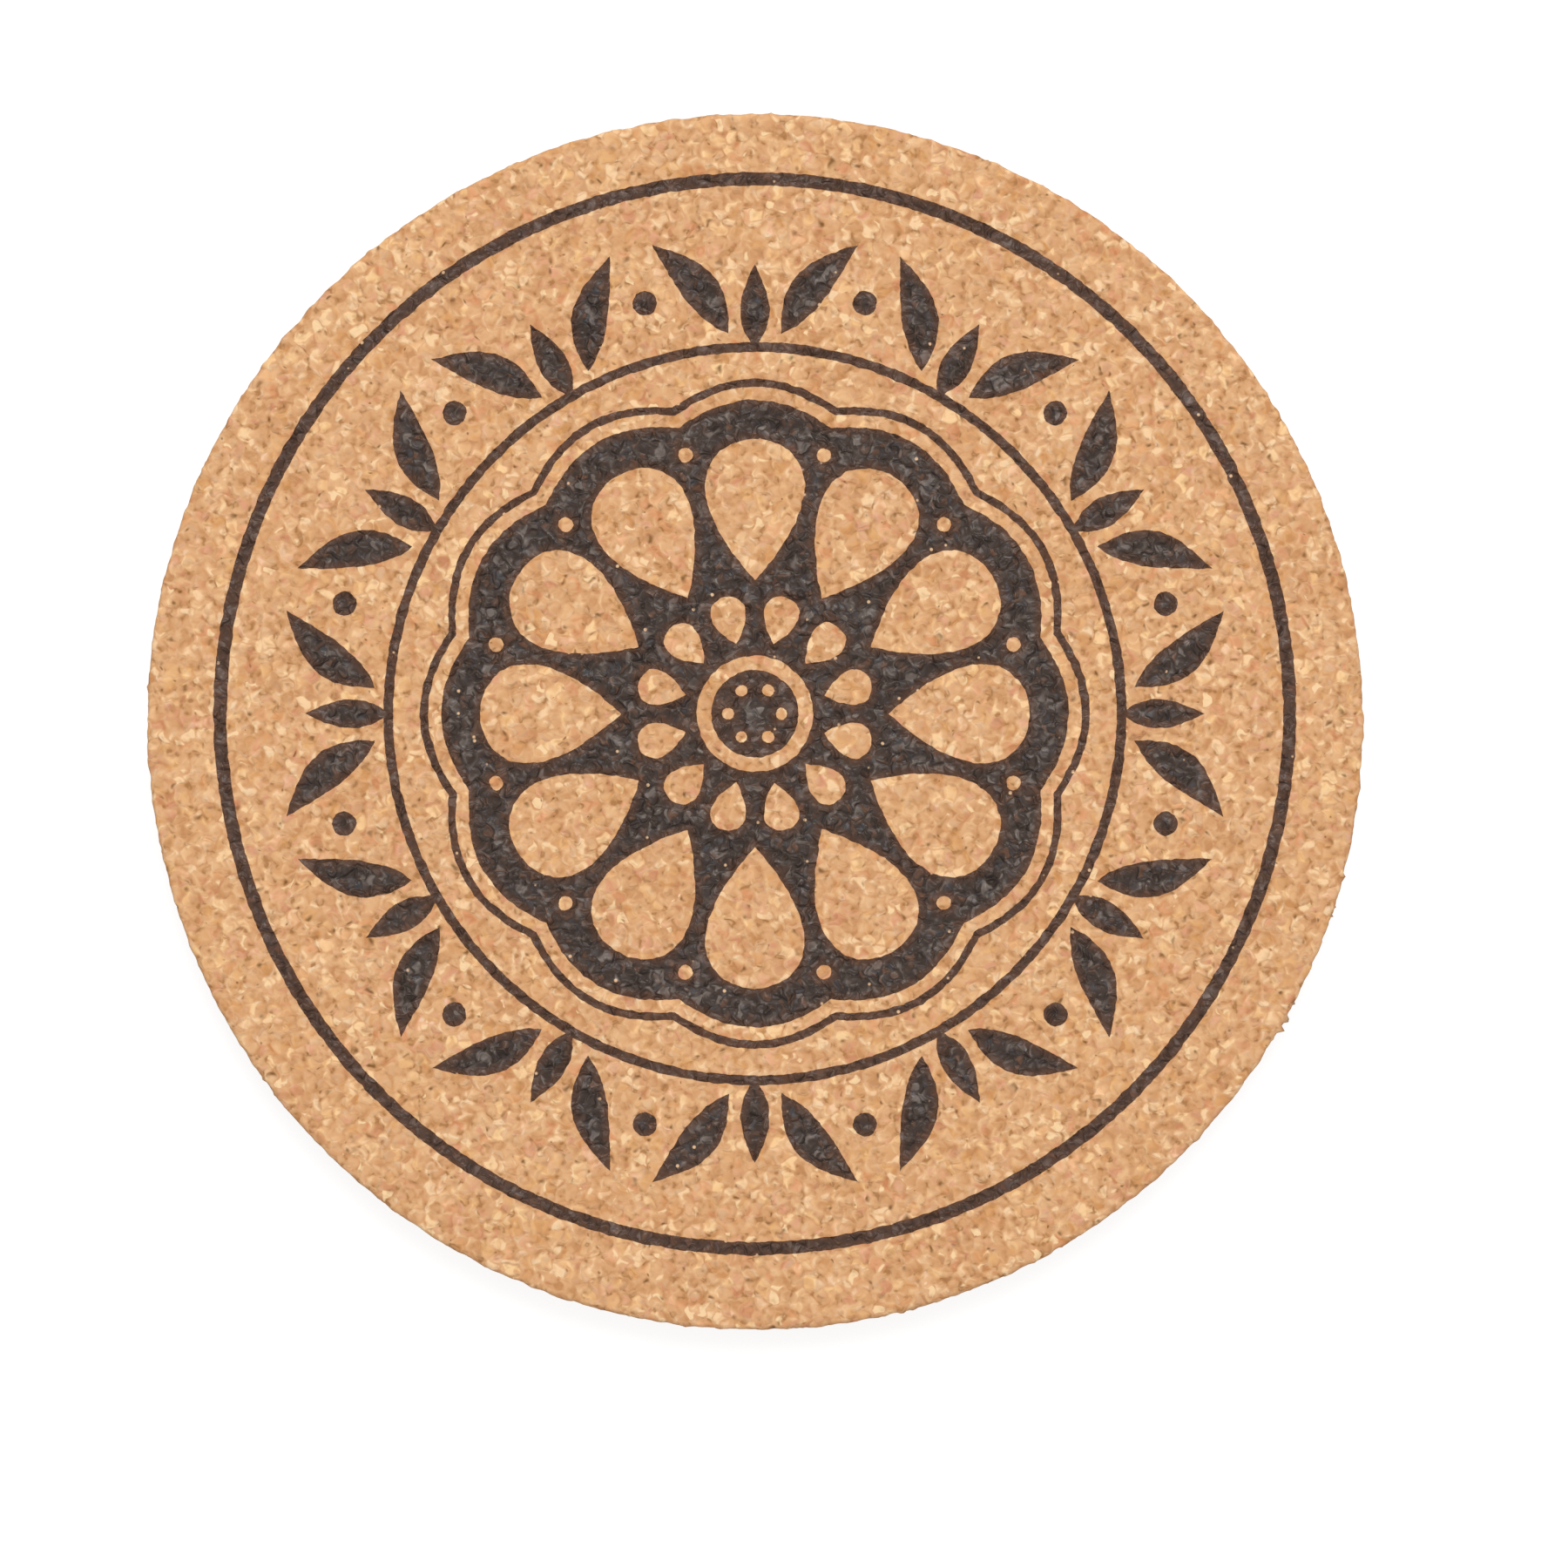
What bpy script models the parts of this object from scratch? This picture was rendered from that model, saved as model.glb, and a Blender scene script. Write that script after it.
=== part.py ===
"""Round cork coaster with a one-colour print: a cork disc and the separate islands of its ink film.

The disc lies on z = 0 with its centre on the Z axis. The print is a plain border ring around a wreath
of leaf sprigs and a flower medallion. Each island of ink is a flat film on the disc's top face.
"""

import math

import bpy

MM = 0.001
OBJECT_NAME = "cork_coaster"

# Cork disc
DISC_DIAMETER = 100.0 * MM
DISC_THICKNESS = 4.0 * MM
EDGE_ROUNDING = 0.35 * MM
DISC_STEPS = 96
ROUNDING_STEPS = 4

# Ink film, and how far the print sits off the disc's centre
INK_THICKNESS = 0.1 * MM
INK_SEAT_GAP = 0.01 * MM
PRINT_SHIFT_X = -0.03 * MM
PRINT_SHIFT_Y = 0.66 * MM

# Border ring, measured in from the disc's outline
BORDER_MARGIN = 5.44 * MM
BORDER_WIDTH = 1.08 * MM
BARE_EDGE_CLEARANCE = 0.3 * MM
RING_POINTS = 120

# Wreath of leaf sprigs, measured in from the border ring
REPEATS = 12
WREATH_GAP = 4.0 * MM
WREATH_HEIGHT = 8.2 * MM
LEAF_WIDTH = 3.0 * MM
LEAF_BOW = 0.7 * MM
LEAF_STANCE = 2.2 * MM
LEAF_TIP_GAP = 3.6 * MM
LEAF_CLEARANCE = 0.7 * MM
LEAF_FULLNESS = 0.85
LEAF_POINTS = 10
STEM_WIDTH = 0.8 * MM
STEM_ARC_POINTS = 8
STALK_WIDTH = 0.7 * MM
BUD_HEIGHT = 6.4 * MM
BUD_WIDTH = 2.0 * MM
BUD_POINTS = 9
BERRY_RADIUS = 1.0 * MM
BERRY_RISE = 4.4 * MM
BERRY_POINTS = 16

# Scalloped line and medallion, measured in from the wreath's stem
SCALLOP_GAP = 2.2 * MM
SCALLOP_WIDTH = 0.65 * MM
SCALLOP_DEPTH = 1.5 * MM
SCALLOP_POINTS = 10
MEDALLION_GAP = 1.1 * MM
MEDALLION_RIM = 1.7 * MM
PETAL_WEB = 1.5 * MM
PETAL_POINTS = 32
EYELET_RADIUS = 0.6 * MM
EYELET_POINTS = 12

# Middle of the medallion, measured out from its centre
HEART_RADIUS = 3.6 * MM
HEART_GAP = 1.2 * MM
HEART_POINTS = 32
SEED_RADIUS = 0.5 * MM
SEED_ORBIT = 2.2 * MM
SEED_COUNT = 6
SEED_POINTS = 10
FLOWER_WALL = 1.1 * MM
FLORET_LENGTH = 4.0 * MM

# Colours, in linear RGB
CORK_COLOUR = (0.70, 0.386, 0.191, 1.0)
CORK_ROUGHNESS = 0.9
INK_COLOUR = (0.076, 0.058, 0.048, 1.0)
INK_ROUGHNESS = 0.7

# Radii that follow from the sizes above
DISC_RADIUS = DISC_DIAMETER / 2
BORDER_OUTER = DISC_RADIUS - BORDER_MARGIN
BORDER_INNER = BORDER_OUTER - BORDER_WIDTH
LEAF_TIP_RADIUS = BORDER_INNER - WREATH_GAP
LEAF_BASE_RADIUS = LEAF_TIP_RADIUS - WREATH_HEIGHT
STEM_OUTER = LEAF_BASE_RADIUS - LEAF_CLEARANCE
STEM_INNER = STEM_OUTER - STEM_WIDTH
SCALLOP_OUTER_VALLEY = STEM_INNER - SCALLOP_GAP - SCALLOP_DEPTH
SCALLOP_INNER_VALLEY = SCALLOP_OUTER_VALLEY - SCALLOP_WIDTH
MEDALLION_VALLEY = SCALLOP_INNER_VALLEY - MEDALLION_GAP
HUB_RADIUS = HEART_RADIUS + HEART_GAP
FLORET_INNER = HUB_RADIUS + FLOWER_WALL
FLORET_OUTER = FLORET_INNER + FLORET_LENGTH
PETAL_INNER = FLORET_OUTER + FLOWER_WALL
PETAL_OUTER = MEDALLION_VALLEY - MEDALLION_RIM
PITCH = 2 * math.pi / REPEATS


def fresh_collection():
    """Empties the scene and returns the collection that holds the coaster."""
    for old in list(bpy.data.objects):
        bpy.data.objects.remove(old)
    collection = bpy.data.collections.new(OBJECT_NAME)
    bpy.context.scene.collection.children.link(collection)
    return collection


def matte_material(name, colour, roughness):
    material = bpy.data.materials.new(name)
    material.use_nodes = True
    shader = material.node_tree.nodes["Principled BSDF"]
    shader.inputs["Base Color"].default_value = colour
    shader.inputs["Roughness"].default_value = roughness
    shader.inputs["Metallic"].default_value = 0.0
    material.diffuse_color = colour
    return material


def polar(radius, angle):
    return (radius * math.cos(angle), radius * math.sin(angle))


def beside_axis(radius, offset, angle):
    """The point at this radius along the axis at this angle, moved sideways by offset."""
    x = radius * math.cos(angle) - offset * math.sin(angle)
    y = radius * math.sin(angle) + offset * math.cos(angle)
    return (x, y)


def circle(radius, count, centre=(0.0, 0.0)):
    turns = [polar(radius, 2 * math.pi * i / count) for i in range(count)]
    return [(centre[0] + x, centre[1] + y) for x, y in turns]


def scalloped(valley_radius):
    """Round lobes, one on each repeat's axis, that meet in cusps at valley_radius."""
    count = REPEATS * SCALLOP_POINTS
    angles = [2 * math.pi * i / count for i in range(count)]
    return [polar(valley_radius + SCALLOP_DEPTH * abs(math.cos(REPEATS * a / 2)), a) for a in angles]


def petal(inner, outer, angle):
    """Teardrop along the axis at this angle: pointed at inner, round at outer, a web clear of its neighbours."""
    middle = (inner + outer) / 2
    reach = (outer - inner) / 2
    widest_turn = math.acos(-1 / 3)
    widest_share = math.sin(widest_turn) * math.sin(widest_turn / 2)
    widest_radius = middle + reach / 3
    half_width = widest_radius * math.sin(PITCH / 2) - PETAL_WEB / 2
    outline = []
    for i in range(PETAL_POINTS):
        turn = 2 * math.pi * i / PETAL_POINTS
        offset = half_width * math.sin(turn) * math.sin(turn / 2) / widest_share
        outline.append(beside_axis(middle - reach * math.cos(turn), offset, angle))
    return outline


def bud_side():
    """Height and half width up one side of a bud on its stalk, from the stem to the bud's point."""
    side = []
    for i in range(BUD_POINTS):
        share = i / BUD_POINTS
        stalk = STALK_WIDTH / 2 * (1 - share)
        side.append((BUD_HEIGHT * share, stalk + swell(BUD_WIDTH, share)))
    return side


def budded_circle():
    """Outside of the stem ring: a bud on its stalk on each repeat's axis, with arcs between the stalks."""
    right = [(rise, -half_width) for rise, half_width in bud_side()]
    left = [(rise, -offset) for rise, offset in reversed(right)]
    stalk_turn = STALK_WIDTH / 2 / STEM_OUTER
    arc = PITCH - 2 * stalk_turn
    outline = []
    for repeat in range(REPEATS):
        angle = repeat * PITCH
        for rise, offset in right + [(BUD_HEIGHT, 0.0)] + left:
            outline.append(beside_axis(STEM_OUTER + rise, offset, angle))
        for i in range(1, STEM_ARC_POINTS):
            outline.append(polar(STEM_OUTER, angle + stalk_turn + arc * i / STEM_ARC_POINTS))
    return outline


def swell(width, share):
    """Half width of a leaf or bud of this width, at this share of its length from the base."""
    return width / 2 * math.sin(math.pi * share**LEAF_FULLNESS)


def leaf_ends():
    """Base and tip of the leaf on the left of the axis that runs along +X."""
    tip_turn = PITCH / 2 - LEAF_TIP_GAP / 2 / LEAF_TIP_RADIUS
    return (LEAF_BASE_RADIUS, LEAF_STANCE), polar(LEAF_TIP_RADIUS, tip_turn)


def leaf(length, bow):
    """Leaf along +X from its base at the origin, pointed at both ends and bowed to one side."""
    left, right = [], []
    for i in range(LEAF_POINTS + 1):
        share = i / LEAF_POINTS
        half_width = swell(LEAF_WIDTH, share)
        spine = bow * math.sin(math.pi * share)
        left.append((length * share, spine + half_width))
        right.append((length * share, spine - half_width))
    return left + right[-2:0:-1]


def cork_disc(collection, material):
    """The disc, turned from half its section, with a flat bare band outside the border ring."""
    print_shift = math.hypot(PRINT_SHIFT_X, PRINT_SHIFT_Y)
    band_inner = BORDER_OUTER + print_shift + BARE_EDGE_CLEARANCE
    turns = [math.pi / 2 * i / ROUNDING_STEPS for i in range(ROUNDING_STEPS + 1)]
    corner = DISC_RADIUS - EDGE_ROUNDING
    upper = [
        (corner + EDGE_ROUNDING * math.sin(t), DISC_THICKNESS - EDGE_ROUNDING * (1 - math.cos(t)))
        for t in turns
    ]
    lower = [(x, DISC_THICKNESS - z) for x, z in reversed(upper)]
    section = [(0.0, DISC_THICKNESS), (band_inner, DISC_THICKNESS)] + upper + lower + [(0.0, 0.0)]
    mesh = bpy.data.meshes.new("cork_disc")
    edges = [(i, i + 1) for i in range(len(section) - 1)]
    mesh.from_pydata([(x, 0.0, z) for x, z in section], edges, [])
    mesh.materials.append(material)
    disc = bpy.data.objects.new("cork_disc", mesh)
    collection.objects.link(disc)
    screw = disc.modifiers.new("turn", "SCREW")
    screw.axis = "Z"
    screw.steps = DISC_STEPS
    screw.render_steps = DISC_STEPS
    screw.use_merge_vertices = True
    screw.merge_threshold = 0.01 * MM
    screw.use_smooth_shade = True
    return disc


def print_frame(collection):
    """Empty at the print's own centre, halfway up the ink film, that carries every island of ink."""
    frame = bpy.data.objects.new("print_frame", None)
    height = DISC_THICKNESS + INK_SEAT_GAP + INK_THICKNESS / 2
    frame.location = (PRINT_SHIFT_X, PRINT_SHIFT_Y, height)
    collection.objects.link(frame)
    return frame


def ink_island(frame, name, outlines, material, place=(0.0, 0.0), turn=0.0):
    """One island of ink: closed outlines, where those inside another are holes, drawn out to the film."""
    curve = bpy.data.curves.new(name, "CURVE")
    curve.dimensions = "2D"
    curve.fill_mode = "BOTH"
    curve.extrude = INK_THICKNESS / 2
    for outline in outlines:
        spline = curve.splines.new("POLY")
        spline.points.add(len(outline) - 1)
        for point, (x, y) in zip(spline.points, outline):
            point.co = (x, y, 0.0, 1.0)
        spline.use_cyclic_u = True
    curve.materials.append(material)
    island = bpy.data.objects.new(name, curve)
    island.location = (place[0], place[1], 0.0)
    island.rotation_euler = (0.0, 0.0, turn)
    island.parent = frame
    frame.users_collection[0].objects.link(island)
    return island


def print_border(frame, ink):
    outlines = [circle(BORDER_OUTER, RING_POINTS), circle(BORDER_INNER, RING_POINTS)]
    ink_island(frame, "print_border_ring", outlines, ink)


def print_wreath(frame, ink):
    """Stem ring, a pair of leaves on each repeat's axis and a berry between the pairs."""
    ink_island(frame, "print_stem_ring", [budded_circle(), circle(STEM_INNER, RING_POINTS)], ink)
    base, tip = leaf_ends()
    length = math.dist(base, tip)
    lean = math.atan2(tip[1] - base[1], tip[0] - base[0])
    for repeat in range(REPEATS):
        number = f"{repeat + 1:02d}"
        angle = repeat * PITCH
        for side, sign in (("left", 1), ("right", -1)):
            foot = beside_axis(base[0], sign * base[1], angle)
            outline = leaf(length, -sign * LEAF_BOW)
            ink_island(frame, f"print_leaf_{side}_{number}", [outline], ink, foot, angle + sign * lean)
        spot = polar(STEM_OUTER + BERRY_RISE, angle + PITCH / 2)
        ink_island(frame, f"print_berry_{number}", [circle(BERRY_RADIUS, BERRY_POINTS)], ink, spot)


def print_medallion(frame, ink):
    """Scalloped line, and inside it the medallion with its flower left bare and the flower's heart."""
    line = [scalloped(SCALLOP_OUTER_VALLEY), scalloped(SCALLOP_INNER_VALLEY)]
    ink_island(frame, "print_scallop_line", line, ink)
    axes = [repeat * PITCH for repeat in range(REPEATS)]
    eyelet_orbit = PETAL_OUTER - EYELET_RADIUS
    outlines = [scalloped(MEDALLION_VALLEY), circle(HUB_RADIUS, HEART_POINTS)]
    outlines += [petal(PETAL_INNER, PETAL_OUTER, a) for a in axes]
    outlines += [petal(FLORET_INNER, FLORET_OUTER, a + PITCH / 2) for a in axes]
    outlines += [circle(EYELET_RADIUS, EYELET_POINTS, polar(eyelet_orbit, a + PITCH / 2)) for a in axes]
    ink_island(frame, "print_medallion", outlines, ink)
    seeds = circle(SEED_ORBIT, SEED_COUNT)
    heart = [circle(HEART_RADIUS, HEART_POINTS)]
    heart += [circle(SEED_RADIUS, SEED_POINTS, seed) for seed in seeds]
    ink_island(frame, "print_flower_heart", heart, ink)


def main():
    collection = fresh_collection()
    cork = matte_material("cork", CORK_COLOUR, CORK_ROUGHNESS)
    ink = matte_material("ink", INK_COLOUR, INK_ROUGHNESS)
    disc = cork_disc(collection, cork)
    frame = print_frame(collection)
    frame.parent = disc
    print_border(frame, ink)
    print_wreath(frame, ink)
    print_medallion(frame, ink)


main()
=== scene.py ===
"""Looks of the cork coaster: granular cork, the ink film that drapes over it, floor, light and camera."""

import math
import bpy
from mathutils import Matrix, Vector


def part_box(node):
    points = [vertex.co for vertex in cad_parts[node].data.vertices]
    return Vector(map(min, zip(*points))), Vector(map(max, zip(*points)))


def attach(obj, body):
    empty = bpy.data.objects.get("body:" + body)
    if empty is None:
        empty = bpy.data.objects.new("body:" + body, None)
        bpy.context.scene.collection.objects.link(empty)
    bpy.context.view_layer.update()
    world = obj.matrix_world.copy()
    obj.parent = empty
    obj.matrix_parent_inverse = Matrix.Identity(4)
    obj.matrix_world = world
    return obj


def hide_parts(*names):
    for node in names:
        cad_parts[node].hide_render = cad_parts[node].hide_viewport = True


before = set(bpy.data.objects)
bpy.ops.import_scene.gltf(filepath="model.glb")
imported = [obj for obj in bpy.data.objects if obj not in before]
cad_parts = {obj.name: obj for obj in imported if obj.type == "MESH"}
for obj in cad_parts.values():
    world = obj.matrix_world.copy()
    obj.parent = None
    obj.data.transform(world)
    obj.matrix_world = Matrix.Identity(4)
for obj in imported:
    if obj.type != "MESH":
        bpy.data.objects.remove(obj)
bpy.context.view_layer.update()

from types import SimpleNamespace

import bpy
import numpy as np
from mathutils import Vector, geometry, kdtree, noise

MM = 0.001

# Disc, from the frame
DISC_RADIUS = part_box("cork_disc")[1].x
DISC_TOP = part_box("cork_disc")[1].z
EDGE_ROUNDING = 0.35 * MM
FACE_RADIUS = DISC_RADIUS - EDGE_ROUNDING

# Cork's mesh: spacing of its points, and how delaunay_2d_cdt joins them
TOP_STEP = 0.41 * MM
BOTTOM_STEP = 0.8 * MM
RIM_POINTS = 1200
ROUNDING_ROWS = 3
WALL_ROWS = 12
JITTER = 0.25
CLEAR_OF_OUTLINE = 0.6
MESH_SEED = 7
TRIANGLES = 0
MERGE_DISTANCE = 1e-7
KEY_DIGITS = 4

# Ink film, whose outlines waver a little as they cross the granules, by noise of these sizes and reaches
FILM_GAP = 0.003 * MM
FILM_THICKNESS = 0.012 * MM
OUTLINE_STEP = 0.17 * MM
WAVERS = ((0.9 * MM, 0.085 * MM), (0.4 * MM, 0.055 * MM))
WAVER_SEED = 11

# Granules, with lengths in millimetres: how they bend, their sizes, and the gaps, cracks and pits between them
WANDER_SIZE = 0.8
WANDER_REACH = 0.9
RAGGED_SIZE = 0.24
RAGGED_REACH = 0.08
FLAKE_SIZE = 1.9
CRUMB_SIZE = 0.95
BIT_SIZE = 0.6
CRUMB_SOFT = 0.2
CRUMB_CORE = (0.09, 0.17)
BIT_SOFT = 0.16
FACET_SOFT = 0.36
CURL_SIZE = 0.8
CURL_REACH = 0.55
GAP_WIDTH = 0.24
BIT_GAP_SHARE = 0.8
GAP_PATCH_SIZE = 0.7
GAP_PATCH_DETAIL = 1.0
GAP_PATCH = (0.45, 0.75)
CRACK_WIDTH = 0.18
CRACK_PATCH = (0.62, 0.7)
PIT_SIZE = 1.0
PIT_SHARE = 0.45
PIT_RADIUS = 0.42

# Relief, in millimetres below the pressed face
CRUMB_RELIEF = 0.02
BIT_RELIEF = 0.02
GAP_RELIEF = 0.03
FACET_LEAN = 0.2
PIT_RELIEF = 0.025

# Cut edge: deeper relief where the normal's upright part is small, and a slow wave, in millimetres
WALL_UPRIGHT = (0.8, 0.2)
WALL_RELIEF = 1.4
WALL_RISE = 0.11
WALL_WAVE_SIZE = 1.2
WALL_WAVE = 0.3

# Crumbs that stand out of the cut edge, the largest of them on one stretch
KNOB_SIZE = 1.05
KNOB_SLOPE = (0.3, 0.1)
KNOB_SHARE = 0.9
KNOB_REACH = 0.5
KNOB_ELSEWHERE = 0.25
KNOB_DIRECTION = math.radians(-23)
KNOB_SPREAD = math.radians(11)
KNOB_FULL_SPREAD = KNOB_SPREAD / 1.5

# Swing of the cork's tone from granule to granule
WHOLE_SHARE = 0.25
WHOLE_SWING = 0.2
FLAKE_SWING = 0.17
CRUMB_SWING = 0.8
CRUMB_POWER = 2.0
# Painted shade: crumbs fade to a slightly darker tone at their borders
CRUMB_BORDER_SHADE = 0.2
CRUMB_MEAN = 0.3
BIT_SWING = 0.58
# Painted light and shade: each leaning facet is lighter on one side and darker on the other
FACET_SHADE_SWING = 1.2
CURL_SWING = 1.1

# Cork's colours, and which granules take each tint
CORK_TONES = (
    (0.0, (198, 142, 95)),
    (0.25, (212, 158, 110)),
    (0.5, (221, 171, 124)),
    (0.75, (231, 184, 136)),
    (1.0, (244, 204, 158)),
)
COOL_TINT = (0.95, 1.01, 1.12, 1.0)
COOL_BITS = (0.5, 1.0)
WARM_TINT = (1.03, 0.99, 0.86, 1.0)
WARM_CRUMBS = (0.5, 0.0)
PINK_TINT = (1.0, 0.88, 1.0, 1.0)
PINK_CRUMBS = (0.5, 1.0)
PINK_LIMIT = (0.95, 0.6)
CREAM = (245, 208, 160)
CREAM_BITS = 0.98
CREAM_CRUMBS = 0.98
# Gaps, cracks and pits: darker brown, partly the cork's own colour and partly painted shade in the hollows
GAP_BROWN_AND_SHADE = (162, 108, 54)
GAP_SHARE = 0.5
CRACK_BROWN_AND_SHADE = (150, 98, 48)
CRACK_SHARE = 0.5
PIT_BROWN_AND_SHADE = (106, 68, 20)
PIT_DARKNESS = 0.85
CORK_ROUGHNESS = (0.92, 0.78)
CORK_SPECULAR = 0.25

# Ink: warm black, dull on most granules and paler on a few, partly as thin ink and partly as painted glints,
# thin at its borders, with painted shade in its gaps and a few bare specks of cork
INK_TONES = (
    (0.0, (53, 38, 29)),
    (0.5, (70, 56, 48)),
    (1.0, (114, 102, 95)),
)
INK_POWER = 4.0
INK_FLAKES = 0.2
# Painted glints and shade: curls of noise make the ink lighter and darker as lit granule edges would
INK_GLINT_CURL = 2.5
INK_BROWN = (104, 70, 50)
BROWN_BITS = (0.7, 1.0)
INK_SLATE = (62, 62, 66)
SLATE_BITS = (0.3, 0.0)
INK_HUE_SHARE = 0.8
INK_THIN = (92, 56, 33)
THIN_REACH = (-0.2, 0.92)
THIN_SHARE = 0.84
# Painted shade: the ink is darkened in the gaps between granules
INK_GAP_SHADE = (30, 20, 14)
INK_GAP_SHARE = 0.4
SPECK_COLOUR = (222, 182, 142)
SPECK_SIZE = 1.3
SPECK_SHARE = 0.3
SPECK_RADIUS = (0.07, 0.14)
INK_SPECULAR = 0.3
INK_ROUGHNESS = (0.5, 0.3)
INK_GLOSS_RELIEF = 1.7
INK_FACET_SIZE = 1.1
INK_FACET_LEAN = 0.6

# Floor and light
FLOOR_SIZE = 3.0
FLOOR_COLOUR = (0.3, 0.3, 0.3, 1.0)
FLOOR_GLOW = 0.8
WORLD_LIGHT = 0.66
WORLD_WHITE = 1.0
SOFTBOX_SIZE = 1.1
SOFTBOX_POWER = 17.0
SOFTBOX_PLACE = (0.15, 1.1, 1.35)

# Camera: straight above, with the photograph's framing
PHOTO_PIXELS = 1800
PHOTO_CENTRE = (867.0, 828.5)
PHOTO_RADIUS = 697.5
LENS = 100.0
SENSOR = 36.0


def srgb(red, green, blue):
    """Linear colour from 8-bit display values."""
    shares = [value / 255 for value in (red, green, blue)]
    return [s / 12.92 if s <= 0.04045 else ((s + 0.055) / 1.055) ** 2.4 for s in shares] + [1.0]


class Graph:
    """Short calls for the nodes that geometry and material trees share."""

    def __init__(self, tree):
        self.tree = tree

    def node(self, kind, **settings):
        made = self.tree.nodes.new(kind)
        for name, value in settings.items():
            setattr(made, name, value)
        return made

    def feed(self, socket, value):
        if isinstance(value, bpy.types.NodeSocket):
            self.tree.links.new(value, socket)
        else:
            socket.default_value = value

    def math(self, operation, first, second=0.0):
        made = self.node("ShaderNodeMath", operation=operation)
        self.feed(made.inputs[0], first)
        self.feed(made.inputs[1], second)
        return made.outputs[0]

    def plus(self, first, second):
        return self.math("ADD", first, second)

    def minus(self, first, second):
        return self.math("SUBTRACT", first, second)

    def times(self, first, second):
        return self.math("MULTIPLY", first, second)

    def vector(self, operation, first, second=None, scale=None):
        made = self.node("ShaderNodeVectorMath", operation=operation)
        self.feed(made.inputs[0], first)
        if second is not None:
            self.feed(made.inputs[1], second)
        if scale is not None:
            self.feed(made.inputs["Scale"], scale)
        return made.outputs["Value" if operation == "DOT_PRODUCT" else "Vector"]

    def ease(self, value, low, high, start=0.0, end=1.0):
        """Smooth step from start to end as value goes from low to high."""
        made = self.node("ShaderNodeMapRange", interpolation_type="SMOOTHSTEP")
        for socket, number in zip(made.inputs, (value, low, high, start, end)):
            self.feed(socket, number)
        return made.outputs[0]

    def mix(self, share, first, second):
        made = self.node("ShaderNodeMix", data_type="FLOAT")
        for socket, number in zip(made.inputs[0:1] + made.inputs[2:4], (share, first, second)):
            self.feed(socket, number)
        return made.outputs[0]

    def noise(self, place, size, detail=0.0):
        made = self.node("ShaderNodeTexNoise")
        self.feed(made.inputs["Vector"], place)
        made.inputs["Scale"].default_value = 1 / size
        made.inputs["Detail"].default_value = detail
        return made

    def cells(self, place, size, feature="F1"):
        made = self.node("ShaderNodeTexVoronoi", feature=feature)
        self.feed(made.inputs["Vector"], place)
        made.inputs["Scale"].default_value = 1 / size
        return made

    def parts(self, vector):
        made = self.node("ShaderNodeSeparateXYZ")
        self.feed(made.inputs[0], vector)
        return made.outputs

    def centred(self, colour):
        """A random colour as a vector about zero."""
        return self.vector("SUBTRACT", colour, (0.5, 0.5, 0.5))

    def shifted(self, place, size, reach):
        """The place moved by smooth noise of this grain size, by up to about half of reach."""
        drift = self.centred(self.noise(place, size).outputs["Color"])
        return self.vector("ADD", place, self.vector("SCALE", drift, scale=reach))


def granules(graph, place):
    """Pressed granules at a place in millimetres: flakes, crumbs and bits, facets and curls, gaps and pits."""
    bent = graph.shifted(graph.shifted(place, WANDER_SIZE, WANDER_REACH), RAGGED_SIZE, RAGGED_REACH)
    flake = graph.parts(graph.cells(bent, FLAKE_SIZE).outputs["Color"])
    crumb_edge = edge_distance(graph, bent, CRUMB_SIZE)
    bit_edge = edge_distance(graph, bent, BIT_SIZE)
    patch = graph.noise(place, GAP_PATCH_SIZE, GAP_PATCH_DETAIL).outputs["Fac"]
    crumb_gap = graph.ease(crumb_edge, 0.0, GAP_WIDTH, 1.0, 0.0)
    bit_gap = graph.times(graph.ease(bit_edge, 0.0, GAP_WIDTH, 1.0, 0.0), BIT_GAP_SHARE)
    crack = graph.ease(crumb_edge, 0.0, CRACK_WIDTH, 1.0, 0.0)
    swirl = graph.shifted(bent, CURL_SIZE, CURL_REACH)
    return SimpleNamespace(
        bent=bent,
        flake=flake,
        broken=graph.math("GREATER_THAN", flake[1], WHOLE_SHARE),
        crumb=graph.parts(graph.cells(bent, CRUMB_SIZE).outputs["Color"]),
        crumb_soft=graph.ease(crumb_edge, 0.0, CRUMB_SOFT),
        crumb_core=graph.ease(crumb_edge, *CRUMB_CORE),
        bit=graph.parts(graph.cells(bent, BIT_SIZE).outputs["Color"]),
        bit_soft=graph.ease(bit_edge, 0.0, BIT_SOFT),
        facet=facets(graph, bent, BIT_SIZE),
        curl=graph.minus(graph.noise(swirl, CURL_SIZE).outputs["Fac"], 0.5),
        gap=graph.times(graph.math("MAXIMUM", crumb_gap, bit_gap), graph.ease(patch, *GAP_PATCH)),
        crack=graph.times(crack, graph.ease(patch, *CRACK_PATCH)),
        pit=pits(graph, bent),
    )


def edge_distance(graph, place, size):
    """Distance to the nearest border between cells, in millimetres."""
    edge = graph.cells(place, size, "DISTANCE_TO_EDGE").outputs["Distance"]
    return graph.times(edge, size)


def facets(graph, place, size):
    """Height of flat facets, one to a cell and each leaning its own way, in millimetres for a lean of 1."""
    cell = graph.cells(place, size)
    lean = graph.centred(cell.outputs["Color"])
    height = graph.vector("DOT_PRODUCT", graph.vector("SUBTRACT", place, cell.outputs["Position"]), lean)
    return graph.times(height, graph.ease(edge_distance(graph, place, size), 0.0, FACET_SOFT))


def pits(graph, place):
    """Small holes, in some of the cells of a wide pattern."""
    cell = graph.cells(place, PIT_SIZE)
    chance = graph.parts(cell.outputs["Color"])
    radius = graph.times(chance[1], PIT_RADIUS / PIT_SIZE)
    hole = graph.ease(cell.outputs["Distance"], 0.0, radius, 1.0, 0.0)
    return graph.times(hole, graph.math("LESS_THAN", chance[0], PIT_SHARE))


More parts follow.
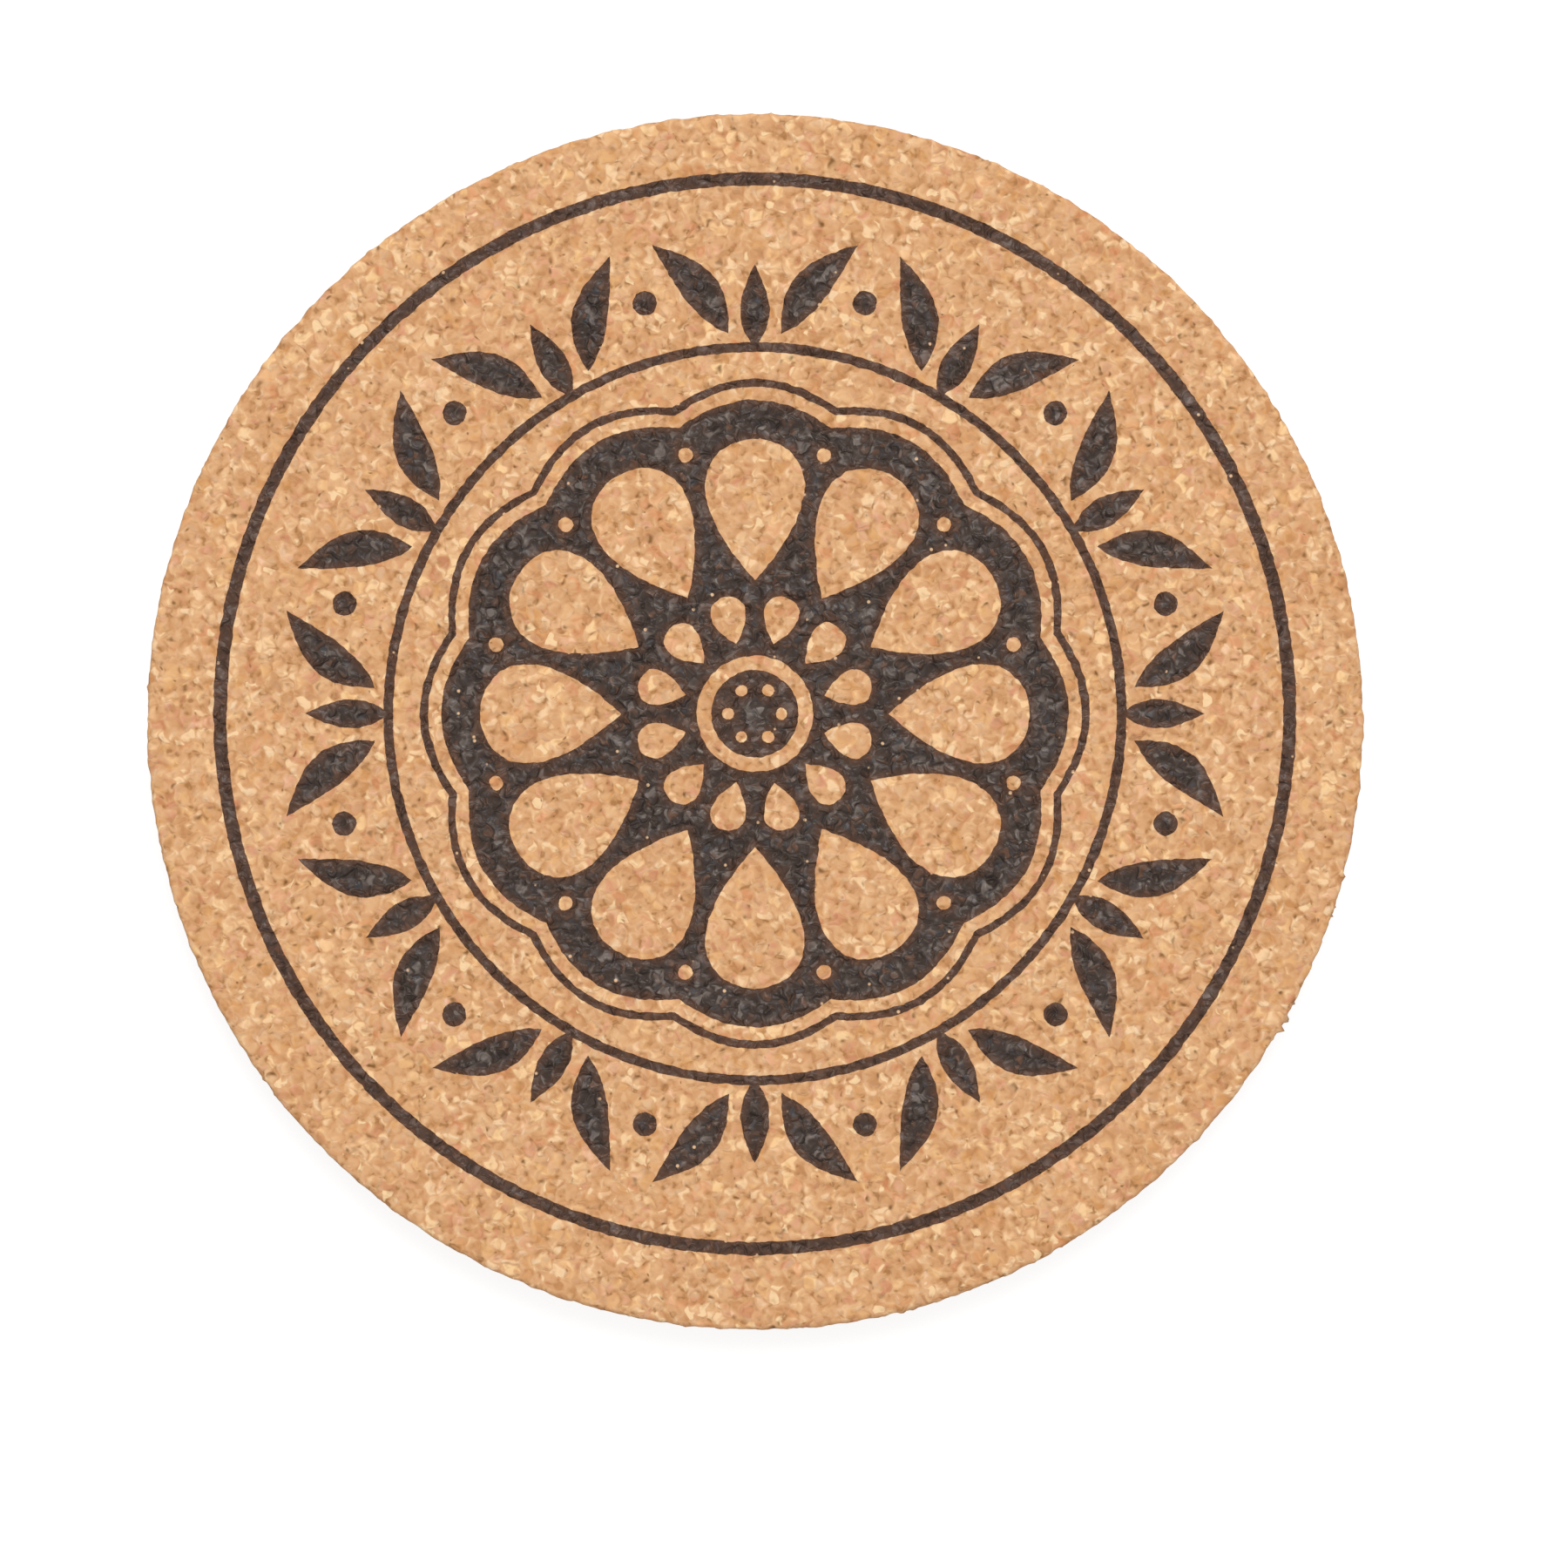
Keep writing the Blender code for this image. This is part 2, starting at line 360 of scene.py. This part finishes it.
def depth_of(graph, grain):
    """Depth below the pressed face, in millimetres."""
    crumb = graph.times(graph.times(grain.crumb[2], grain.crumb_soft), -CRUMB_RELIEF)
    bit = graph.times(graph.times(grain.bit[2], grain.bit_soft), -BIT_RELIEF)
    lie = graph.plus(graph.plus(crumb, bit), CRUMB_RELIEF + BIT_RELIEF)
    lie = graph.plus(lie, graph.times(grain.facet, FACET_LEAN))
    cut = graph.times(grain.gap, GAP_RELIEF)
    hole = graph.times(grain.pit, PIT_RELIEF)
    return graph.math("MAXIMUM", graph.plus(lie, graph.math("MAXIMUM", cut, hole)), 0.0)


def knobs(graph, place):
    """Height of the crumbs that stand out of the cut edge, in millimetres."""
    cell = graph.cells(place, KNOB_SIZE)
    chance = graph.parts(cell.outputs["Color"])
    rise = graph.ease(cell.outputs["Distance"], *KNOB_SLOPE)
    chosen = graph.math("LESS_THAN", chance[0], KNOB_SHARE)
    outward = graph.vector("NORMALIZE", graph.vector("MULTIPLY", place, (1.0, 1.0, 0.0)))
    towards = (math.cos(KNOB_DIRECTION), math.sin(KNOB_DIRECTION), 0.0)
    facing = graph.vector("DOT_PRODUCT", outward, towards)
    stretch = graph.ease(facing, math.cos(KNOB_SPREAD), math.cos(KNOB_FULL_SPREAD))
    height = graph.times(chance[1], graph.mix(stretch, KNOB_ELSEWHERE * KNOB_REACH, KNOB_REACH))
    return graph.times(graph.times(rise, chosen), height)


def relief_tree():
    """Geometry nodes that keep each point's first place and then press the granules' relief into it."""
    tree = bpy.data.node_groups.new("granule_relief", "GeometryNodeTree")
    tree.interface.new_socket("Geometry", in_out="INPUT", socket_type="NodeSocketGeometry")
    tree.interface.new_socket("Geometry", in_out="OUTPUT", socket_type="NodeSocketGeometry")
    graph = Graph(tree)
    position = graph.node("GeometryNodeInputPosition").outputs[0]
    normal = graph.node("GeometryNodeInputNormal").outputs[0]
    keep = graph.node("GeometryNodeStoreNamedAttribute", data_type="FLOAT_VECTOR", domain="POINT")
    keep.inputs["Name"].default_value = "first_place"
    graph.feed(keep.inputs["Geometry"], graph.node("NodeGroupInput").outputs[0])
    graph.feed(keep.inputs["Value"], position)
    place = graph.vector("SCALE", position, scale=1 / MM)
    rise = graph.times(surface_rise(graph, place, normal), MM)
    move = graph.node("GeometryNodeSetPosition")
    graph.feed(move.inputs["Geometry"], keep.outputs[0])
    graph.feed(move.inputs["Offset"], graph.vector("SCALE", normal, scale=rise))
    graph.feed(graph.node("NodeGroupOutput").inputs[0], move.outputs[0])
    return tree


def surface_rise(graph, place, normal):
    """Millimetres that the surface moves along its normal: inwards on the faces, both ways on the edge."""
    wall = graph.ease(graph.math("ABSOLUTE", graph.parts(normal)[2]), *WALL_UPRIGHT)
    depth = graph.times(depth_of(graph, granules(graph, place)), graph.mix(wall, 1.0, WALL_RELIEF))
    wave = graph.minus(graph.noise(place, WALL_WAVE_SIZE).outputs["Fac"], 0.5)
    swell = graph.plus(graph.times(wave, WALL_WAVE), WALL_RISE)
    outward = graph.times(graph.plus(knobs(graph, place), swell), wall)
    return graph.minus(outward, depth)


def outlines_of(node):
    """Closed outlines of a CAD node's top face, with the face on the left of each, as lists of (x, y)."""
    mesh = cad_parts[node].data
    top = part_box(node)[1].z
    spots, sides = {}, {}
    for face in mesh.polygons:
        corners = [mesh.vertices[i].co for i in face.vertices]
        if min(c.z for c in corners) < top - FILM_THICKNESS:
            continue
        keys = [(round(c.x / MM, KEY_DIGITS), round(c.y / MM, KEY_DIGITS)) for c in corners]
        spots.update((key, (c.x, c.y)) for key, c in zip(keys, corners))
        for start, end in zip(keys, keys[1:] + keys[:1]):
            if (end, start) in sides:
                del sides[(end, start)]
            else:
                sides[(start, end)] = True
    after = {start: end for start, end in sides}
    outlines = []
    while after:
        key = next(iter(after))
        outline = []
        while key in after:
            outline.append(spots[key])
            key = after.pop(key)
        outlines.append(outline)
    return outlines


def wavered(outline):
    """The outline in short steps, each point moved a little by smooth noise of two sizes."""
    finer = []
    for start, end in zip(outline, outline[1:] + outline[:1]):
        count = max(1, math.ceil(math.dist(start, end) / OUTLINE_STEP))
        for i in range(count):
            share = i / count
            x, y = (a + (b - a) * share for a, b in zip(start, end))
            spot = Vector((x, y, 0.0))
            drifts = [noise.noise_vector(spot / size) * reach for size, reach in WAVERS]
            finer.append(sum(drifts, spot).xy)
    return finer


def area_of(outline):
    """Signed area: above 0 where the outline runs anticlockwise."""
    pairs = zip(outline, outline[1:] + outline[:1])
    return sum(a[0] * b[1] - b[0] * a[1] for a, b in pairs) / 2


def rim_circle(radius):
    turns = [2 * math.pi * i / RIM_POINTS for i in range(RIM_POINTS)]
    return [Vector((radius * math.cos(t), radius * math.sin(t))) for t in turns]


def filler(radius, step, keep_off):
    """Jittered points on a triangular grid inside radius, clear of the points in keep_off."""
    chance = np.random.default_rng(MESH_SEED)
    taken = tree_of([(spot[0], spot[1], 0.0) for spot in keep_off])
    row_step = step * math.sqrt(3) / 2
    rows = math.ceil(radius / row_step)
    columns = math.ceil(radius / step)
    points = []
    for row in range(-rows, rows + 1):
        for column in range(-columns, columns + 1):
            drift = chance.uniform(-JITTER, JITTER, 2) * step
            spot = Vector(((column + 0.5 * (row % 2)) * step + drift[0], row * row_step + drift[1]))
            if spot.length < radius and taken.find((spot.x, spot.y, 0.0))[2] > CLEAR_OF_OUTLINE * step:
                points.append(spot)
    return points


def tree_of(points):
    """Search tree that finds the nearest of these points."""
    tree = kdtree.KDTree(len(points))
    for i, point in enumerate(points):
        tree.insert(point, i)
    tree.balance()
    return tree


def top_face(outlines):
    """Triangles over the top face that keep to every ink outline.

    Returns the points, the triangles, each node's own triangles and the points on the rim.
    """
    points = rim_circle(FACE_RADIUS)
    noise.seed_set(WAVER_SEED)
    loops, owners = [], []
    for node, node_outlines in outlines.items():
        for outline in node_outlines:
            bounds = area_of(outline) > 0
            spots = wavered(outline if bounds else outline[::-1])
            loops.append(list(range(len(points), len(points) + len(spots))))
            owners.append((node, 1 if bounds else -1))
            points += spots
    points += filler(FACE_RADIUS, TOP_STEP, points)
    made = geometry.delaunay_2d_cdt(points, [], loops, TRIANGLES, MERGE_DISTANCE, True)
    spots, triangles, origins, inside = made[0], made[2], made[3], made[5]
    return spots, triangles, island_triangles(triangles, inside, owners), rim_points(origins)


def island_triangles(triangles, inside, owners):
    """Each node's own triangles, which lie inside its outer outline and outside its holes."""
    islands = {node: [] for node, sign in owners}
    for triangle, loop_ids in zip(triangles, inside):
        counts = {}
        for loop_id in loop_ids:
            node, sign = owners[loop_id]
            counts[node] = counts.get(node, 0) + sign
        for node, count in counts.items():
            if count > 0:
                islands[node].append(triangle)
    return islands


def rim_points(origins):
    """The number that each point of the rim circle has among the points that were made."""
    rim = [None] * RIM_POINTS
    for i, sources in enumerate(origins):
        for source in sources:
            if source < RIM_POINTS:
                rim[source] = i
    return rim


def edge_rows():
    """Radius and height of each ring of points from below the top face's rim to the bottom face's rim."""
    turns = [math.pi / 2 * i / ROUNDING_ROWS for i in range(1, ROUNDING_ROWS + 1)]
    radii = [FACE_RADIUS + EDGE_ROUNDING * math.sin(t) for t in turns]
    drops = [EDGE_ROUNDING * (1 - math.cos(t)) for t in turns]
    upper = [(radius, DISC_TOP - drop) for radius, drop in zip(radii, drops)]
    span = DISC_TOP - 2 * EDGE_ROUNDING
    wall = [(DISC_RADIUS, EDGE_ROUNDING + span * (1 - i / WALL_ROWS)) for i in range(1, WALL_ROWS)]
    lower = [(radius, DISC_TOP - height) for radius, height in reversed(upper)]
    return upper + wall + lower + [(FACE_RADIUS, 0.0)]


def cork_body(top_points, top_triangles, top_rim):
    """Closed mesh of the disc: top face, rounded and cut edge, and bottom face."""
    points = [(p.x, p.y, DISC_TOP) for p in top_points]
    faces = [tuple(t) for t in top_triangles]
    above = top_rim
    for radius, height in edge_rows():
        ring = list(range(len(points), len(points) + RIM_POINTS))
        points += [(p.x, p.y, height) for p in rim_circle(radius)]
        faces += zip(above, ring, ring[1:] + ring[:1], above[1:] + above[:1])
        above = ring
    bottom_points, bottom_triangles = bottom_face(above, len(points))
    mesh = bpy.data.meshes.new("cork_disc_granular")
    mesh.from_pydata(points + bottom_points, [], faces + bottom_triangles)
    return mesh


def bottom_face(edge_ring, count):
    """Points inside the bottom face, numbered from count on, and the triangles that join them to the edge."""
    rim = rim_circle(FACE_RADIUS)
    inner = filler(FACE_RADIUS, BOTTOM_STEP, rim)
    made = geometry.delaunay_2d_cdt(rim + inner, [], [], TRIANGLES, MERGE_DISTANCE, True)
    numbers, points = {}, []
    for i, sources in enumerate(made[3]):
        source = sources[0]
        if source < RIM_POINTS:
            numbers[i] = edge_ring[source]
        else:
            numbers[i] = count + len(points)
            points.append((made[0][i].x, made[0][i].y, 0.0))
    return points, [tuple(numbers[i] for i in reversed(t)) for t in made[2]]


def pressed(mesh, tree):
    """A new mesh with the relief of the node tree applied, shaded smooth."""
    base = bpy.data.objects.new("relief_base", mesh)
    bpy.context.scene.collection.objects.link(base)
    base.modifiers.new("relief", "NODES").node_group = tree
    bpy.context.view_layer.update()
    evaluated = base.evaluated_get(bpy.context.evaluated_depsgraph_get())
    result = bpy.data.meshes.new_from_object(evaluated)
    bpy.data.objects.remove(base)
    bpy.data.meshes.remove(mesh)
    shade_smooth(result)
    return result


def shade_smooth(mesh):
    mesh.polygons.foreach_set("use_smooth", np.ones(len(mesh.polygons), bool))


def film_mesh(name, triangles, cork_points, first_places):
    """Film over these triangles of the cork: its top, its underside and its edge.

    The edge has points of its own, so that the top is not shaded round at its border.
    """
    used, flat = np.unique(np.array(triangles), return_inverse=True)
    flat = flat.reshape(-1, 3)
    count = len(used)
    under = cork_points[used] + (0.0, 0.0, FILM_GAP)
    over = under + (0.0, 0.0, FILM_THICKNESS)
    border = border_sides(flat)
    rim = sorted({i for side in border for i in side})
    upper = {i: 2 * count + n for n, i in enumerate(rim)}
    drop = len(rim)
    faces = [tuple(int(i) for i in t) for t in flat]
    faces += [tuple(int(i) + count for i in reversed(t)) for t in flat]
    faces += [(upper[a] + drop, upper[b] + drop, upper[b], upper[a]) for a, b in border]
    mesh = bpy.data.meshes.new(name)
    mesh.from_pydata(np.concatenate([over, under, over[rim], under[rim]]).tolist(), [], faces)
    shade_smooth(mesh)
    films = first_places[used]
    inward = distances(over, over[rim])
    places = np.concatenate([films, films, films[rim], films[rim]])
    keep(mesh, "first_place", "FLOAT_VECTOR", "vector", places)
    keep(mesh, "from_edge", "FLOAT", "value", np.concatenate([inward, inward, np.zeros(2 * drop)]))
    return mesh


def border_sides(triangles):
    """Sides that belong to one triangle only, in order."""
    corners = triangles.tolist()
    sides = {side for a, b, c in corners for side in ((a, b), (b, c), (c, a))}
    return sorted((a, b) for a, b in sides if (b, a) not in sides)


def distances(points, targets):
    """Distance from each point to the nearest of the targets."""
    tree = tree_of(targets)
    return np.array([tree.find(point)[2] for point in points])


def keep(mesh, name, kind, field, values):
    """Stores a value for each point of the mesh, for its material to read."""
    attribute = mesh.attributes.new(name, kind, "POINT")
    attribute.data.foreach_set(field, values.astype(np.float32).ravel())


def vectors_of(items, field):
    """One row of three numbers for each item."""
    values = np.empty(len(items) * 3)
    items.foreach_get(field, values)
    return values.reshape(-1, 3)


def material_graph(name):
    """A new node material. Returns it with its graph, its shader and its place in millimetres."""
    material = bpy.data.materials.new(name)
    material.use_nodes = True
    graph = Graph(material.node_tree)
    shader = material.node_tree.nodes["Principled BSDF"]
    first = graph.node("ShaderNodeAttribute", attribute_name="first_place").outputs["Vector"]
    return material, graph, shader, graph.vector("SCALE", first, scale=1 / MM)


def ramp(graph, value, tones):
    """Colour ramp through (position, display colour) tones."""
    made = graph.node("ShaderNodeValToRGB")
    elements = made.color_ramp.elements
    while len(elements) < len(tones):
        elements.new(0.5)
    for element, (position, tone) in zip(elements, tones):
        element.position = position
        element.color = srgb(*tone)
    graph.feed(made.inputs[0], value)
    return made.outputs[0]


def blend(graph, share, first, second, mode="MIX"):
    made = graph.node("ShaderNodeMix", data_type="RGBA", blend_type=mode)
    graph.feed(made.inputs[0], share)
    graph.feed(made.inputs[6], first)
    graph.feed(made.inputs[7], second)
    return made.outputs[2]


def bump(graph, shader, depth, unit):
    """Tilts the shader's normal as a surface sunk by this depth would."""
    made = graph.node("ShaderNodeBump")
    made.invert = True
    made.inputs["Strength"].default_value = 1.0
    made.inputs["Distance"].default_value = unit
    graph.feed(made.inputs["Height"], depth)
    graph.feed(shader.inputs["Normal"], made.outputs[0])


def tone_of(graph, grain):
    """Lightness of the cork in 0 to 1, from its flakes, crumbs and bits, their curls, and painted light and
    shade across each leaning facet.
    """
    flake = graph.times(graph.minus(grain.flake[0], 0.5), FLAKE_SWING)
    # painted shade: crumbs slightly darker where they meet
    rare = graph.mix(grain.crumb_soft, CRUMB_BORDER_SHADE, graph.math("POWER", grain.crumb[0], CRUMB_POWER))
    crumb = graph.times(graph.minus(rare, CRUMB_MEAN), CRUMB_SWING)
    swing = graph.times(grain.bit_soft, graph.mix(grain.broken, WHOLE_SWING * BIT_SWING, BIT_SWING))
    bit = graph.times(graph.minus(grain.bit[0], 0.5), swing)
    # painted light and shade across each leaning facet
    lean = graph.times(grain.facet, FACET_SHADE_SWING)
    curl = graph.times(grain.curl, CURL_SWING)
    grains = graph.plus(graph.plus(flake, crumb), bit)
    return graph.plus(graph.plus(grains, graph.plus(lean, curl)), 0.5)


def cork_colour(graph, grain):
    """Tan granules of unlike tone, some pinker or cream, with brown gaps, cracks and dark pits, their brown
    partly the cork's own and partly painted shade of the hollows.
    """
    colour = ramp(graph, tone_of(graph, grain), CORK_TONES)
    cool = graph.times(graph.ease(grain.bit[2], *COOL_BITS), grain.bit_soft)
    colour = blend(graph, cool, colour, COOL_TINT, "MULTIPLY")
    warm = graph.times(graph.ease(grain.crumb[2], *WARM_CRUMBS), grain.crumb_soft)
    colour = blend(graph, warm, colour, WARM_TINT, "MULTIPLY")
    pink = graph.times(graph.ease(grain.crumb[1], *PINK_CRUMBS), grain.crumb_soft)
    pink = graph.times(pink, graph.ease(grain.crumb[0], *PINK_LIMIT))
    colour = blend(graph, pink, colour, PINK_TINT, "MULTIPLY")
    cream_bit = graph.times(graph.math("GREATER_THAN", grain.bit[1], CREAM_BITS), grain.bit_soft)
    cream_crumb = graph.times(graph.math("GREATER_THAN", grain.crumb[1], CREAM_CRUMBS), grain.crumb_core)
    colour = blend(graph, graph.math("MAXIMUM", cream_bit, cream_crumb), colour, srgb(*CREAM))
    # painted shade, partly the cork's own brown: gaps, cracks and pits darkened
    colour = blend(graph, graph.times(grain.gap, GAP_SHARE), colour, srgb(*GAP_BROWN_AND_SHADE))
    colour = blend(graph, graph.times(grain.crack, CRACK_SHARE), colour, srgb(*CRACK_BROWN_AND_SHADE))
    return blend(graph, graph.times(grain.pit, PIT_DARKNESS), colour, srgb(*PIT_BROWN_AND_SHADE))


def cork_material():
    material, graph, shader, place = material_graph("pressed_cork")
    grain = granules(graph, place)
    graph.feed(shader.inputs["Base Color"], cork_colour(graph, grain))
    graph.feed(shader.inputs["Roughness"], graph.ease(grain.crumb[0], 0.0, 1.0, *CORK_ROUGHNESS))
    shader.inputs["Specular IOR Level"].default_value = CORK_SPECULAR
    bump(graph, shader, depth_of(graph, grain), MM)
    return material


def ink_colour(graph, grain, place):
    """Warm black, paler on some granules partly as thin ink and partly as painted glints, browner at its
    borders, with painted shade in its gaps and a few bare specks.
    """
    # painted glints: pale granules and curls in the colour stand for gloss catching the light, partly thin ink
    pale_crumb = graph.times(graph.math("POWER", grain.crumb[0], INK_POWER), grain.crumb_soft)
    pale_bit = graph.times(graph.math("POWER", grain.bit[0], INK_POWER), grain.bit_soft)
    pale = graph.plus(graph.math("MAXIMUM", pale_crumb, pale_bit), graph.times(grain.flake[0], INK_FLAKES))
    colour = ramp(graph, graph.plus(pale, graph.times(grain.curl, INK_GLINT_CURL)), INK_TONES)
    brown = graph.times(graph.ease(grain.bit[2], *BROWN_BITS, 0.0, INK_HUE_SHARE), grain.bit_soft)
    colour = blend(graph, brown, colour, srgb(*INK_BROWN))
    slate = graph.times(graph.ease(grain.bit[2], *SLATE_BITS, 0.0, INK_HUE_SHARE), grain.bit_soft)
    colour = blend(graph, slate, colour, srgb(*INK_SLATE))
    from_edge = graph.node("ShaderNodeAttribute", attribute_name="from_edge").outputs["Fac"]
    thin = graph.ease(graph.times(from_edge, 1 / MM), *THIN_REACH, THIN_SHARE, 0.0)
    colour = blend(graph, thin, colour, srgb(*INK_THIN))
    # painted shade in the gaps between granules
    colour = blend(graph, graph.times(grain.gap, INK_GAP_SHARE), colour, srgb(*INK_GAP_SHADE))
    return blend(graph, bare_specks(graph, place), colour, srgb(*SPECK_COLOUR))


def bare_specks(graph, place):
    """1 in a few small spots that the ink missed."""
    cell = graph.cells(place, SPECK_SIZE)
    rare = graph.math("LESS_THAN", graph.parts(cell.outputs["Color"])[0], SPECK_SHARE)
    return graph.times(graph.ease(cell.outputs["Distance"], *SPECK_RADIUS, 1.0, 0.0), rare)


def ink_material():
    material, graph, shader, place = material_graph("printed_ink")
    grain = granules(graph, place)
    graph.feed(shader.inputs["Base Color"], ink_colour(graph, grain, place))
    graph.feed(shader.inputs["Roughness"], graph.ease(grain.bit[0], 0.0, 1.0, *INK_ROUGHNESS))
    shader.inputs["Specular IOR Level"].default_value = INK_SPECULAR
    lean = graph.times(facets(graph, grain.bent, INK_FACET_SIZE), INK_FACET_LEAN)
    bump(graph, shader, graph.plus(depth_of(graph, grain), lean), INK_GLOSS_RELIEF * MM)
    return material


def place_piece(name, mesh, material, node):
    """Puts a piece of the visual model in the place of a CAD node."""
    mesh.materials.clear()
    mesh.materials.append(material)
    piece = bpy.data.objects.new(name, mesh)
    bpy.context.scene.collection.objects.link(piece)
    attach(piece, "root")
    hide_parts(node)


def dress_coaster():
    """Replaces the CAD disc by granular cork, and each CAD ink node by a film that lies on its granules."""
    ink_nodes = sorted(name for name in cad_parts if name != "cork_disc")
    outlines = {node: outlines_of(node) for node in ink_nodes}
    spots, triangles, islands, rim = top_face(outlines)
    cork_mesh = pressed(cork_body(spots, triangles, rim), relief_tree())
    cork_points = vectors_of(cork_mesh.vertices, "co")
    first_places = vectors_of(cork_mesh.attributes["first_place"].data, "vector")
    place_piece("granular_cork_disc", cork_mesh, cork_material(), "cork_disc")
    ink = ink_material()
    for node in ink_nodes:
        film = film_mesh(f"{node}_film", islands[node], cork_points, first_places)
        place_piece(f"{node}_film", film, ink, node)


def seen_directly(graph):
    """1 for rays that come from the camera, a gloss or glass, and 0 for rays that carry light."""
    path = graph.node("ShaderNodeLightPath").outputs
    seen = graph.math("MAXIMUM", path["Is Camera Ray"], path["Is Glossy Ray"])
    return graph.math("MAXIMUM", seen, path["Is Transmission Ray"])


def white_floor():
    """Pale floor that shows as white to the camera and keeps the disc's shadow."""
    bpy.ops.mesh.primitive_plane_add(size=FLOOR_SIZE)
    floor = bpy.context.object
    floor.name = "floor"
    material = bpy.data.materials.new("pale_floor")
    material.use_nodes = True
    graph = Graph(material.node_tree)
    graph.tree.nodes.clear()
    matt = graph.node("ShaderNodeBsdfDiffuse")
    matt.inputs["Color"].default_value = FLOOR_COLOUR
    glow = graph.node("ShaderNodeEmission")
    graph.feed(glow.inputs["Strength"], graph.times(seen_directly(graph), FLOOR_GLOW))
    both = graph.node("ShaderNodeAddShader")
    graph.feed(both.inputs[0], matt.outputs[0])
    graph.feed(both.inputs[1], glow.outputs[0])
    graph.feed(graph.node("ShaderNodeOutputMaterial").inputs["Surface"], both.outputs[0])
    floor.data.materials.append(material)


def soft_light():
    """Surroundings that show as white and light a little less, and one large softbox from the far side."""
    world = bpy.data.worlds.new("studio")
    bpy.context.scene.world = world
    world.use_nodes = True
    background = world.node_tree.nodes["Background"]
    background.inputs["Color"].default_value = (1.0, 1.0, 1.0, 1.0)
    graph = Graph(world.node_tree)
    graph.feed(background.inputs["Strength"], graph.mix(seen_directly(graph), WORLD_LIGHT, WORLD_WHITE))
    lamp = bpy.data.lights.new("softbox", "AREA")
    lamp.shape = "SQUARE"
    lamp.size = SOFTBOX_SIZE
    lamp.energy = SOFTBOX_POWER
    box = bpy.data.objects.new("softbox", lamp)
    box.location = SOFTBOX_PLACE
    box.rotation_euler = (-box.location).to_track_quat("-Z", "Y").to_euler()
    bpy.context.scene.collection.objects.link(box)


def photo_camera():
    """Camera straight above, placed so that the disc fills the frame as in the photograph."""
    pixel = DISC_RADIUS / PHOTO_RADIUS
    distance = PHOTO_PIXELS * pixel * LENS / SENSOR
    middle = PHOTO_PIXELS / 2
    across = (middle - PHOTO_CENTRE[0]) * pixel
    along = (PHOTO_CENTRE[1] - middle) * pixel
    data = bpy.data.cameras.new("photo_camera")
    data.lens = LENS
    data.sensor_width = SENSOR
    camera = bpy.data.objects.new("photo_camera", data)
    camera.location = (across, along, DISC_TOP + distance)
    bpy.context.scene.collection.objects.link(camera)
    bpy.context.scene.camera = camera


bpy.context.scene.view_settings.view_transform = "Standard"
photo_camera()
white_floor()
soft_light()
dress_coaster()
